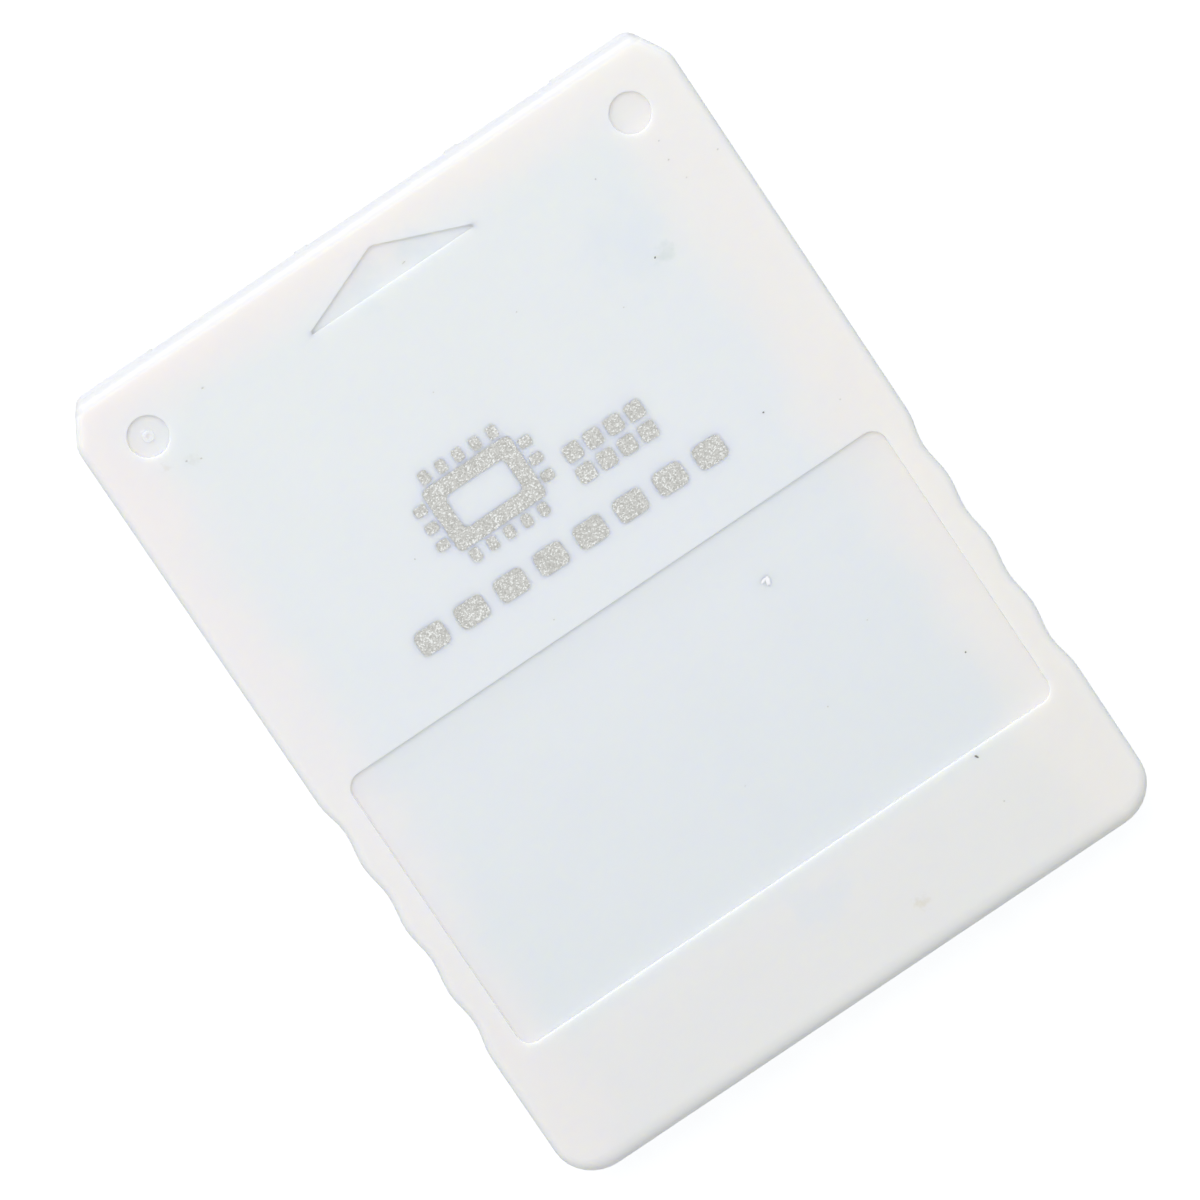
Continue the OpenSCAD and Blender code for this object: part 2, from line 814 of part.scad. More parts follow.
front_cover();
rear_cover();
circuit_board();
for (i = [1:contact_count])
    contact_pad(i);
flash_chip_body();
flash_chip_leads();
controller_chip_body();
controller_chip_leads();
regulator_body();
regulator_leads();
crystal_base();
crystal_lid();
for (i = [1:capacitor_count])
    capacitor(i);
for (i = [1:resistor_count])
    resistor(i);
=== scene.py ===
import math

import bmesh
import bpy
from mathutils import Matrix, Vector


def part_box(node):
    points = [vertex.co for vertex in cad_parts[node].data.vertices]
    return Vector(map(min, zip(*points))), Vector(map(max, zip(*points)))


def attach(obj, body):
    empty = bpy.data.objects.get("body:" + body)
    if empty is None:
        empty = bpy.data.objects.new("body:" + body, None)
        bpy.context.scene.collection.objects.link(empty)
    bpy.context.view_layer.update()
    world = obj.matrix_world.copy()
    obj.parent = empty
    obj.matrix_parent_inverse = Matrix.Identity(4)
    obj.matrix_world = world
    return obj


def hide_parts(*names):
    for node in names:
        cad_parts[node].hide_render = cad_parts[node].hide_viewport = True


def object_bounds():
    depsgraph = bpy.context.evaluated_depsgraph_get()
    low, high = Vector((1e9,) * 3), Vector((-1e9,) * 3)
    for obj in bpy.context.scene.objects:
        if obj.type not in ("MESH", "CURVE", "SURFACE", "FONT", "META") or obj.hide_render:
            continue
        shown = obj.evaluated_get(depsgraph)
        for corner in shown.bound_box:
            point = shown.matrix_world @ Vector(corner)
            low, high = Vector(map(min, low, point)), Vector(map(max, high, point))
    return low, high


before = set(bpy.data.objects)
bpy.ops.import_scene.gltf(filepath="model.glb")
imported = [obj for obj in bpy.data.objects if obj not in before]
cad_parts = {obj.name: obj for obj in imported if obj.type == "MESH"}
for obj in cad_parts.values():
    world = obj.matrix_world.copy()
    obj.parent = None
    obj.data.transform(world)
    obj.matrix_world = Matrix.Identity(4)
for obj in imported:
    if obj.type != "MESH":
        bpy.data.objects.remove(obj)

cad_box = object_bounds()
MM = 0.001


# Circuit board: a glass-fibre panel under green solder mask.
# The mask is a thin glossy lacquer over the laminate, a little uneven in colour where copper lies under it.
# The board lies loose on the rear cover's rests, so only its underside shows, through the contact mouth.
def start_material(name, colour, roughness, metallic=0.0):
    """A new material with its shader's plain values set, and the tools to add nodes to it."""
    material = bpy.data.materials.new(name)
    material.use_nodes = True
    nodes, links = material.node_tree.nodes, material.node_tree.links
    shader = nodes["Principled BSDF"]
    shader.inputs["Base Color"].default_value = (*colour, 1)
    shader.inputs["Roughness"].default_value = roughness
    shader.inputs["Metallic"].default_value = metallic
    return material, nodes, links, shader


def stretched_point(nodes, links, scale=(1, 1, 1)):
    """The object's own coordinates, in metres, stretched by a Mapping node."""
    place = nodes.new("ShaderNodeTexCoord")
    mapping = nodes.new("ShaderNodeMapping")
    mapping.inputs["Scale"].default_value = scale
    links.new(place.outputs["Object"], mapping.inputs["Vector"])
    return mapping.outputs["Vector"]


def noise(nodes, links, point, grain, detail=3.0, distortion=0.0):
    """Noise whose lumps are about grain metres across."""
    cloud = nodes.new("ShaderNodeTexNoise")
    cloud.inputs["Scale"].default_value = 1 / grain
    cloud.inputs["Detail"].default_value = detail
    cloud.inputs["Distortion"].default_value = distortion
    links.new(point, cloud.inputs["Vector"])
    return cloud.outputs["Fac"]


def ramp(nodes, links, value, stops):
    """A colour ramp through stops of (position, colour)."""
    band = nodes.new("ShaderNodeValToRGB")
    elements = band.color_ramp.elements
    while len(elements) < len(stops):
        elements.new(1)
    for element, (position, colour) in zip(elements, stops):
        element.position = position
        element.color = (*colour, 1)
    links.new(value, band.inputs["Fac"])
    return band.outputs["Color"]


def spread(nodes, links, value, low, high, to_low=0.0, to_high=1.0):
    """Value turned from the range low to high into the range to_low to to_high, and kept in it."""
    turn = nodes.new("ShaderNodeMapRange")
    turn.inputs["From Min"].default_value = low
    turn.inputs["From Max"].default_value = high
    turn.inputs["To Min"].default_value = to_low
    turn.inputs["To Max"].default_value = to_high
    links.new(value, turn.inputs["Value"])
    return turn.outputs["Result"]


def roughen(nodes, links, shader, height, depth, strength=0.3):
    """A bump of depth metres from a height of 0 to 1."""
    bump = nodes.new("ShaderNodeBump")
    bump.inputs["Strength"].default_value = strength
    bump.inputs["Distance"].default_value = depth
    links.new(height, bump.inputs["Height"])
    links.new(bump.outputs["Normal"], shader.inputs["Normal"])


def finish_node(name, material):
    """Gives a CAD node its finished material."""
    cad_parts[name].data.materials.clear()
    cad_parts[name].data.materials.append(material)


def solder_mask():
    material, nodes, links, shader = start_material("solder_mask", (0.02, 0.16, 0.07), 0.32)
    shader.inputs["Coat Weight"].default_value = 0.35
    shader.inputs["Coat Roughness"].default_value = 0.12
    point = stretched_point(nodes, links)
    cloud = noise(nodes, links, point, 1.6 * MM, 4)
    greens = [(0.3, (0.012, 0.115, 0.05)), (0.55, (0.02, 0.16, 0.07)), (0.75, (0.03, 0.21, 0.095))]
    links.new(ramp(nodes, links, cloud, greens), shader.inputs["Base Color"])
    weave = noise(nodes, links, stretched_point(nodes, links, (1, 0.4, 1)), 0.25 * MM, 2)
    links.new(spread(nodes, links, weave, 0.3, 0.7, 0.26, 0.4), shader.inputs["Roughness"])
    roughen(nodes, links, shader, weave, 0.01 * MM)
    return material


finish_node("circuit_board", solder_mask())


# Contact pads: eight gold-plated copper pads at the board's front edge.
# They are plated on to the board, and the slot's springs leave fine wiping marks along them.
def worn_gold():
    material, nodes, links, shader = start_material("contact_gold", (0.83, 0.6, 0.24), 0.24, 1.0)
    wipes = noise(nodes, links, stretched_point(nodes, links, (1, 0.05, 1)), 0.09 * MM, 3)
    golds = [(0.35, (0.7, 0.47, 0.17)), (0.55, (0.83, 0.6, 0.24)), (0.8, (0.93, 0.74, 0.38))]
    links.new(ramp(nodes, links, wipes, golds), shader.inputs["Base Color"])
    links.new(spread(nodes, links, wipes, 0.3, 0.7, 0.16, 0.36), shader.inputs["Roughness"])
    roughen(nodes, links, shader, wipes, 0.004 * MM)
    return material


gold = worn_gold()
contacts = [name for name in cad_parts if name.startswith("contact_pad_")]
for name in contacts:
    finish_node(name, gold)


# Chip bodies: transfer-moulded black epoxy resin round each lead frame.
# The mould leaves a fine, even, matt grain. The chips are soldered to the board's upper side.
def moulded_resin():
    material, nodes, links, shader = start_material("chip_resin", (0.02, 0.02, 0.022), 0.6)
    point = stretched_point(nodes, links)
    grain = noise(nodes, links, point, 0.09 * MM, 4)
    greys = [(0.3, (0.014, 0.014, 0.016)), (0.7, (0.034, 0.034, 0.037))]
    links.new(ramp(nodes, links, grain, greys), shader.inputs["Base Color"])
    links.new(spread(nodes, links, grain, 0.3, 0.7, 0.5, 0.72), shader.inputs["Roughness"])
    roughen(nodes, links, shader, grain, 0.012 * MM)
    return material


resin = moulded_resin()
for name in ("flash_chip_body", "controller_chip_body", "regulator_body"):
    finish_node(name, resin)


# Leads and crystal lid: stamped metal with a satin tin plating.
# The leads are bent to a gull wing and soldered down, and the lid is brazed to the crystal's base.
def tin_plate():
    material, nodes, links, shader = start_material("tin_plate", (0.66, 0.67, 0.68), 0.34, 1.0)
    point = stretched_point(nodes, links)
    frost = noise(nodes, links, point, 0.12 * MM, 3)
    tins = [(0.3, (0.52, 0.53, 0.54)), (0.7, (0.74, 0.75, 0.76))]
    links.new(ramp(nodes, links, frost, tins), shader.inputs["Base Color"])
    links.new(spread(nodes, links, frost, 0.3, 0.7, 0.25, 0.45), shader.inputs["Roughness"])
    roughen(nodes, links, shader, frost, 0.004 * MM)
    return material


tin = tin_plate()
for name in ("flash_chip_leads", "controller_chip_leads", "regulator_leads", "crystal_lid"):
    finish_node(name, tin)


# Crystal base: a pressed and fired white ceramic tub, soldered by pads on its underside.
# Its surface is matt and slightly sandy.
def fired_ceramic():
    material, nodes, links, shader = start_material("white_ceramic", (0.76, 0.73, 0.64), 0.7)
    point = stretched_point(nodes, links)
    sand = noise(nodes, links, point, 0.1 * MM, 4)
    whites = [(0.3, (0.66, 0.63, 0.54)), (0.7, (0.82, 0.8, 0.72))]
    links.new(ramp(nodes, links, sand, whites), shader.inputs["Base Color"])
    roughen(nodes, links, shader, sand, 0.01 * MM)
    return material


finish_node("crystal_base", fired_ceramic())


# Capacitors and resistors: small fired ceramic bricks with a tinned metal cap at each end.
# Each is one node, so its material turns from ceramic to tin at the caps' places, taken from the node's box.
CAP_LENGTH = 0.3 * MM


def capped_ceramic(name, dark, light):
    low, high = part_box(name)
    middle, half = (low[0] + high[0]) / 2, (high[0] - low[0]) / 2
    material, nodes, links, shader = start_material(name + "_ceramic", light, 0.5)
    point = stretched_point(nodes, links)
    grain = noise(nodes, links, point, 0.08 * MM, 3)
    brick = ramp(nodes, links, grain, [(0.3, dark), (0.7, light)])
    tinned = ramp(nodes, links, grain, [(0.3, (0.55, 0.56, 0.57)), (0.7, (0.75, 0.76, 0.77))])
    axes = nodes.new("ShaderNodeSeparateXYZ")
    links.new(point, axes.inputs["Vector"])
    along = nodes.new("ShaderNodeMath")
    along.operation = "SUBTRACT"
    along.inputs[1].default_value = middle
    links.new(axes.outputs["X"], along.inputs[0])
    out = nodes.new("ShaderNodeMath")
    out.operation = "ABSOLUTE"
    links.new(along.outputs["Value"], out.inputs[0])
    edge = half - CAP_LENGTH
    at_cap = spread(nodes, links, out.outputs["Value"], edge - 0.005 * MM, edge + 0.005 * MM)
    blend = nodes.new("ShaderNodeMix")
    blend.data_type = "RGBA"
    links.new(at_cap, blend.inputs["Factor"])
    links.new(brick, blend.inputs["A"])
    links.new(tinned, blend.inputs["B"])
    links.new(blend.outputs["Result"], shader.inputs["Base Color"])
    links.new(at_cap, shader.inputs["Metallic"])
    roughen(nodes, links, shader, grain, 0.006 * MM)
    return material


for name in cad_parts:
    if name.startswith("capacitor_"):
        finish_node(name, capped_ceramic(name, (0.3, 0.19, 0.09), (0.44, 0.3, 0.16)))
    if name.startswith("resistor_"):
        finish_node(name, capped_ceramic(name, (0.012, 0.012, 0.014), (0.035, 0.035, 0.04)))


# Rear cover: injection-moulded white plastic, slightly translucent, with the contact mouth at its front end.
# The front cover's pins press into its four sockets and its six arms snap over the front cover's ledges.
# Over the board and the hollow room the colour is cooler and darker, painted shade for the light lost
# through the thin skin into the hollow, and along the solid walls it is warmer.
COOL_MIDDLE = -0.6 * MM
COOL_HALF_WIDTH = 16.9 * MM
COOL_FRONT = 25.2 * MM
COOL_REAR = -19.4 * MM
SIDE_FADE = 4.6 * MM
FRONT_FADE = 3.6 * MM
REAR_FADE = 2.0 * MM
CORNER_FADE = 0.9
REAR_SHARE = 0.4
FACE_HEIGHT = 7.6 * MM
MEAN_FREE_PATH = 0.9 * MM
# Bands along the length: the steep walls' painted light fades out over the first, the insertion end's
# rounded rim gets painted shade over the second, and its end face a painted bluish reflection over the
# third.
GRIP_END_BAND = (-27.2 * MM, -26 * MM)
END_ROUNDING = (27.3 * MM, 27.45 * MM)
END_FACE = (27.66 * MM, 27.79 * MM)


def math_node(nodes, links, operation, first, second=None):
    """A Math node whose inputs are sockets or plain numbers."""
    node = nodes.new("ShaderNodeMath")
    node.operation = operation
    for slot, value in zip(node.inputs, (first, second)):
        if isinstance(value, (int, float)):
            slot.default_value = value
        elif value is not None:
            links.new(value, slot)
    return node.outputs["Value"]


def mix_colours(nodes, links, share, first, second):
    """A mix of two colours, each a socket or a plain colour."""
    node = nodes.new("ShaderNodeMix")
    node.data_type = "RGBA"
    for label, value in (("Factor", share), ("A", first), ("B", second)):
        slot = node.inputs[label]
        if isinstance(value, tuple):
            slot.default_value = (*value, 1)
        else:
            links.new(value, slot)
    return node.outputs["Result"]


def soft_maximum(nodes, links, first, second, rounding):
    """The larger of two values, rounded off where they meet."""
    node = nodes.new("ShaderNodeMath")
    node.operation = "SMOOTH_MAX"
    node.inputs[2].default_value = rounding
    links.new(first, node.inputs[0])
    links.new(second, node.inputs[1])
    return node.outputs["Value"]


def fall_off(nodes, links, value, low, high):
    """From 1 at low to 0 at high, easing out at both ends."""
    soft = nodes.new("ShaderNodeMapRange")
    soft.interpolation_type = "SMOOTHSTEP"
    soft.inputs["From Min"].default_value = low
    soft.inputs["From Max"].default_value = high
    soft.inputs["To Min"].default_value = 1
    soft.inputs["To Max"].default_value = 0
    links.new(value, soft.inputs["Value"])
    return soft.outputs["Result"]


def painted_board_shade(nodes, links, point):
    """Painted shade: from 1 over the board to 0 over the walls, with a soft, wavy border, and less behind
    the board.
    """
    sway = noise(nodes, links, point, 7 * MM, 3)
    drift = spread(nodes, links, sway, 0.3, 0.7, -0.22, 0.22)
    axes = nodes.new("ShaderNodeSeparateXYZ")
    links.new(point, axes.inputs["Vector"])
    aside = math_node(nodes, links, "SUBTRACT", axes.outputs["X"], COOL_MIDDLE)
    aside = math_node(nodes, links, "ABSOLUTE", aside)
    aside = math_node(nodes, links, "SUBTRACT", aside, COOL_HALF_WIDTH)
    aside = math_node(nodes, links, "DIVIDE", aside, SIDE_FADE)
    ahead = math_node(nodes, links, "SUBTRACT", axes.outputs["Y"], COOL_FRONT)
    ahead = math_node(nodes, links, "DIVIDE", ahead, FRONT_FADE)
    behind = math_node(nodes, links, "SUBTRACT", COOL_REAR, axes.outputs["Y"])
    behind = math_node(nodes, links, "DIVIDE", behind, REAR_FADE)
    outside = soft_maximum(nodes, links, aside, ahead, CORNER_FADE)
    swayed = math_node(nodes, links, "ADD", outside, drift)
    beside = fall_off(nodes, links, swayed, -0.5, 0.5)
    rear = fall_off(nodes, links, behind, -0.5, 0.5)
    rear = spread(nodes, links, rear, 0, 1, REAR_SHARE, 1)
    return math_node(nodes, links, "MULTIPLY", beside, rear), axes


def stain_or_shade_patch(nodes, links, point, centre, radius):
    """From 1 in the middle of a stain or a patch of painted shade to 0 outside it, with a ragged edge. Sizes
    are in metres.
    """
    offset = nodes.new("ShaderNodeMapping")
    offset.vector_type = "TEXTURE"
    offset.inputs["Location"].default_value = (centre[0], centre[1], centre[2])
    links.new(point, offset.inputs["Vector"])
    length = nodes.new("ShaderNodeVectorMath")
    length.operation = "LENGTH"
    links.new(offset.outputs["Vector"], length.inputs[0])
    ragged = noise(nodes, links, point, 0.6 * radius, 4)
    wander = spread(nodes, links, ragged, 0.3, 0.7, -0.5 * radius, 0.5 * radius)
    reach = math_node(nodes, links, "ADD", length.outputs["Value"], wander)
    return fall_off(nodes, links, reach, 0.0, radius)


# The gate's stress-whitened stub, two cool patches of painted shade in the arrow, faint stains on the face
# and a broad cool patch of painted shade below the label, as (place, radius, weight, colour), with places
# and radii in millimetres
STAINS_AND_PAINTED_SHADE = [
    ((-17.05, 24.2), 0.5, 0.8, (0.98, 0.98, 0.97)),
    ((-1.3, 24.5), 1.9, 0.4, (0.74, 0.79, 0.83)),
    ((2.2, 24.4), 1.9, 0.4, (0.74, 0.79, 0.83)),
    ((-17.2, 22.0), 0.4, 0.16, (0.60, 0.52, 0.38)),
    ((-15.7, 21.5), 0.5, 0.14, (0.56, 0.54, 0.46)),
    ((12.6, 17.8), 4.0, 0.18, (0.68, 0.74, 0.86)),
    ((14.3, 16.1), 0.9, 0.22, (0.50, 0.58, 0.55)),
    ((5.5, -24.7), 0.6, 0.25, (0.60, 0.52, 0.36)),
    ((0.0, -21.5), 3.4, 0.35, (0.76, 0.80, 0.86)),
]


def white_plastic():
    material, nodes, links, shader = start_material("white_plastic", (0.86, 0.85, 0.84), 0.42)
    shader.inputs["IOR"].default_value = 1.45
    shader.inputs["Subsurface Weight"].default_value = 1.0
    shader.inputs["Subsurface Radius"].default_value = (1.0, 0.92, 0.6)
    shader.inputs["Subsurface Scale"].default_value = MEAN_FREE_PATH
    point = stretched_point(nodes, links)
    painted_shade_over_board, axes = painted_board_shade(nodes, links, point)
    length_share = spread(nodes, links, axes.outputs["Y"], -28 * MM, 28 * MM)
    width_share = spread(nodes, links, axes.outputs["X"], -19 * MM, 19 * MM)
    left_tones = [(0.08, (0.88, 0.845, 0.835)), (0.55, (0.88, 0.85, 0.85)), (0.95, (0.89, 0.84, 0.835))]
    right_tones = [(0.08, (0.885, 0.85, 0.82)), (0.55, (0.895, 0.855, 0.83)), (0.95, (0.885, 0.855, 0.835))]
    left_margin = ramp(nodes, links, length_share, left_tones)
    right_margin = ramp(nodes, links, length_share, right_tones)
    margin = mix_colours(nodes, links, width_share, left_margin, right_margin)
    # The cooler, darker tones over the board are painted shade, darkest towards the rear.
    painted_shade_tones = [
        (0.1, (0.79, 0.805, 0.805)),
        (0.17, (0.805, 0.825, 0.84)),
        (0.55, (0.825, 0.84, 0.86)),
        (0.9, (0.825, 0.84, 0.845)),
    ]
    cool = ramp(nodes, links, length_share, painted_shade_tones)
    tone = mix_colours(nodes, links, painted_shade_over_board, margin, cool)
    cloud = noise(nodes, links, point, 5 * MM, 5, 0.4)
    mottle = spread(nodes, links, cloud, 0.3, 0.7, 0.0, 0.07)
    tone = mix_colours(nodes, links, mottle, tone, (0.72, 0.75, 0.77))
    # Stains, and the patches of painted shade in the arrow and below the label.
    for place, radius, weight, colour in STAINS_AND_PAINTED_SHADE:
        patch = stain_or_shade_patch(nodes, links, point, (place[0] * MM, place[1] * MM, FACE_HEIGHT), radius * MM)
        patch = math_node(nodes, links, "MULTIPLY", patch, weight)
        tone = mix_colours(nodes, links, patch, tone, colour)
    # Painted light: steep walls are made nearly white, standing in for light scattered through the plastic,
    # and this fades out towards the grip end's rounding.
    shape = nodes.new("ShaderNodeNewGeometry")
    facing = nodes.new("ShaderNodeSeparateXYZ")
    links.new(shape.outputs["True Normal"], facing.inputs["Vector"])
    upright = math_node(nodes, links, "ABSOLUTE", facing.outputs["Z"])
    steep = fall_off(nodes, links, upright, 0.5, 0.995)
    before_grip_end = spread(nodes, links, axes.outputs["Y"], *GRIP_END_BAND, 0.0, 0.85)
    glow = math_node(nodes, links, "MULTIPLY", steep, before_grip_end)
    tone = mix_colours(nodes, links, glow, tone, (0.97, 0.965, 0.95))
    # Painted shade: the start of the insertion end's rounded rim is darkened.
    painted_rim_shade = spread(nodes, links, axes.outputs["Y"], *END_ROUNDING)
    tone = mix_colours(nodes, links, painted_rim_shade, tone, (0.79, 0.775, 0.78))
    # Painted reflection: the insertion end's face is tinted a bluish white.
    painted_end_reflection = spread(nodes, links, axes.outputs["Y"], *END_FACE)
    tone = mix_colours(nodes, links, painted_end_reflection, tone, (0.90, 0.89, 0.905))
    links.new(tone, shader.inputs["Base Color"])
    wear = noise(nodes, links, point, 0.5 * MM, 5)
    links.new(spread(nodes, links, wear, 0.3, 0.7, 0.33, 0.46), shader.inputs["Roughness"])
    orange_peel = noise(nodes, links, point, 0.14 * MM, 3)
    roughen(nodes, links, shader, orange_peel, 0.004 * MM, 0.25)
    return material


def only(piece):
    """Selects one piece and nothing else."""
    bpy.ops.object.select_all(action="DESELECT")
    piece.select_set(True)
    bpy.context.view_layer.objects.active = piece


def shade_moulding(piece):
    """Shades curves smooth and keeps flats flat, as their larger faces rule the normals at their edges."""
    only(piece)
    bpy.ops.object.shade_smooth_by_angle(angle=math.radians(32))
    weighing = piece.modifiers.new("flat_normals", "WEIGHTED_NORMAL")
    weighing.keep_sharp = True
    weighing.weight = 100
    bpy.ops.object.modifier_apply(modifier=weighing.name)


def moulded_copy(node, name):
    """A copy of a CAD cover with its facets merged and its flats made whole."""
    piece = bpy.data.objects.new(name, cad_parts[node].data.copy())
    bpy.context.collection.objects.link(piece)
    only(piece)
    bpy.ops.object.mode_set(mode="EDIT")
    bpy.ops.mesh.select_all(action="SELECT")
    bpy.ops.mesh.remove_doubles(threshold=0.0005 * MM)
    bpy.ops.mesh.dissolve_limited(angle_limit=math.radians(0.3), use_dissolve_boundaries=False)
    bpy.ops.object.mode_set(mode="OBJECT")
    return piece


plastic = white_plastic()
rear = moulded_copy("rear_cover", "rear_cover_moulding")
shade_moulding(rear)
rear.data.materials.clear()
rear.data.materials.append(plastic)
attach(rear, "root")
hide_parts("rear_cover")


# Front cover: injection-moulded in the same plastic, with the label and arrow recesses and the dimples.
# The mould's polished lips are broken by a fine radius where a recess meets the face.
LIP_RADIUS = 0.03 * MM
RECESS_DEPTH = 0.3 * MM
LABEL_MIDDLE = (0, -9.1 * MM)
LABEL_HALF = (19 * MM, 9.7 * MM)
WALL_LEAN = 0.1 * MM
STRAIGHTENING = 0.8
FLAT_WITHIN = 0.01 * MM
DIMPLE_MIDDLE = (17.05 * MM, 24.1 * MM)
DIMPLE_RADIUS = 1.275 * MM
ARROW_BASE = 23.7 * MM
ARROW_HEIGHT = 2.4 * MM
ARROW_HALF = 5.65 * MM
face_z = cad_box[1][2]
front = moulded_copy("front_cover", "front_cover_moulding")


def straighten_walls(middle, half, reach=None):
    """Stretches a recess's floor outwards until its walls stand nearly upright.

    The walls lie half from the middle, and the floor's corners lie within reach of it.
    """
    bpy.ops.mesh.select_all(action="DESELECT")
    mesh = bmesh.from_edit_mesh(front.data)
    for vertex in mesh.verts:
        inside = all(abs(vertex.co[k] - middle[k]) < (reach or half)[k] for k in (0, 1))
        if inside and abs(vertex.co.z - face_z + RECESS_DEPTH) < FLAT_WITHIN:
            vertex.select = True
    bmesh.update_edit_mesh(front.data)
    stretch = [1 + STRAIGHTENING * WALL_LEAN / (half[k] - WALL_LEAN) for k in (0, 1)]
    bpy.ops.transform.resize(value=(*stretch, 1), center_override=(*middle, 0))


only(front)
bpy.ops.object.mode_set(mode="EDIT")
bpy.ops.mesh.select_mode(type="VERT")
straighten_walls(LABEL_MIDDLE, LABEL_HALF)
straighten_walls(DIMPLE_MIDDLE, (DIMPLE_RADIUS, DIMPLE_RADIUS))
straighten_walls((-DIMPLE_MIDDLE[0], DIMPLE_MIDDLE[1]), (DIMPLE_RADIUS, DIMPLE_RADIUS))
arrow_side = math.hypot(ARROW_HALF, ARROW_HEIGHT)
arrow_inner = ARROW_HALF * ARROW_HEIGHT / (ARROW_HALF + arrow_side)
arrow_middle = (0, ARROW_BASE + arrow_inner)
straighten_walls(arrow_middle, (arrow_inner, arrow_inner), (6 * MM, 2 * MM))
bpy.ops.mesh.select_mode(type="EDGE")
bpy.ops.mesh.select_all(action="DESELECT")
mesh = bmesh.from_edit_mesh(front.data)
for edge in mesh.edges:
    on_face = all(abs(v.co.z - face_z) < FLAT_WITHIN for v in edge.verts)
    if on_face and len(edge.link_faces) == 2 and edge.calc_face_angle() > math.radians(20):
        edge.select = True
bmesh.update_edit_mesh(front.data)
bpy.ops.mesh.bevel(offset=LIP_RADIUS, segments=2, profile=0.5, clamp_overlap=False)
bpy.ops.object.mode_set(mode="OBJECT")
shade_moulding(front)
front.data.materials.clear()
front.data.materials.append(plastic)
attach(front, "root")
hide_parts("front_cover")


# Print on the face: silver glitter ink, screen-printed in one pass and about 15 micrometres thick.
# It shows a plain chip with its pins, a block of small squares, and a row of equal bars.
INK_THICKNESS = 0.015 * MM
INK_SINK = 0.005 * MM
CHIP_MIDDLE = (-2.55 * MM, 10.25 * MM)
CHIP_SIZE = (6.2 * MM, 4.3 * MM)
CHIP_STROKE = 1.0 * MM
CHIP_CORNER = 0.4 * MM
PIN_SIZE = (0.62 * MM, 0.8 * MM)
PIN_GAP = 0.2 * MM
SQUARE_SIZE = 1.08 * MM
SQUARE_PITCH = 1.46 * MM
SQUARES_MIDDLE = (5.35 * MM, 8.62 * MM)
BAR_SIZE = (1.95 * MM, 1.5 * MM)
BAR_PITCH = 2.82 * MM
BAR_COUNT = 8
BARS_Y = 4.8 * MM


def glitter_ink():
    material, nodes, links, shader = start_material("silver_ink", (0.6, 0.59, 0.56), 0.42)
    shader.inputs["Metallic"].default_value = 0.15
    point = stretched_point(nodes, links)
    flakes = nodes.new("ShaderNodeTexVoronoi")
    flakes.inputs["Scale"].default_value = 1 / (0.075 * MM)
    links.new(point, flakes.inputs["Vector"])
    channels = nodes.new("ShaderNodeSeparateColor")
    links.new(flakes.outputs["Color"], channels.inputs["Color"])
    greys = [
        (0.0, (0.43, 0.42, 0.39)),
        (0.35, (0.53, 0.52, 0.49)),
        (0.75, (0.62, 0.61, 0.58)),
        (0.93, (0.84, 0.84, 0.82)),
    ]
    links.new(ramp(nodes, links, channels.outputs["Red"], greys), shader.inputs["Base Color"])
    links.new(spread(nodes, links, channels.outputs["Green"], 0, 1, 0.3, 0.55), shader.inputs["Roughness"])
    roughen(nodes, links, shader, channels.outputs["Blue"], 0.006 * MM, 0.5)
    return material


def ink_patch(middle, size, corner):
    """A flat printed patch with rounded corners, lying on the face."""
    bpy.ops.object.select_all(action="DESELECT")
    bpy.ops.mesh.primitive_plane_add(size=1, location=(middle[0], middle[1], face_z - INK_SINK))
    patch = bpy.context.active_object
    bpy.ops.object.mode_set(mode="EDIT")
    bpy.ops.transform.resize(value=(size[0], size[1], 1))
    bpy.ops.mesh.bevel(offset=corner, segments=4, affect="VERTICES")
    bpy.ops.object.mode_set(mode="OBJECT")
    return patch


def join_ink(patches, name):
    """Patches joined, given the ink's thickness and finished as one print."""
    bpy.ops.object.select_all(action="DESELECT")
    for patch in patches:
        patch.select_set(True)
    bpy.context.view_layer.objects.active = patches[0]
    bpy.ops.object.transform_apply(location=True, rotation=True, scale=True)
    if len(patches) > 1:
        bpy.ops.object.join()
    print_piece = bpy.context.active_object
    print_piece.name = name
    bpy.ops.object.mode_set(mode="EDIT")
    bpy.ops.mesh.select_all(action="SELECT")
    rise = INK_SINK + INK_THICKNESS
    bpy.ops.mesh.extrude_region_move(TRANSFORM_OT_translate={"value": (0, 0, rise)})
    bpy.ops.mesh.select_all(action="SELECT")
    bpy.ops.mesh.normals_make_consistent(inside=False)
    bpy.ops.object.mode_set(mode="OBJECT")
    print_piece.data.materials.append(ink)
    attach(print_piece, "root")
    return print_piece


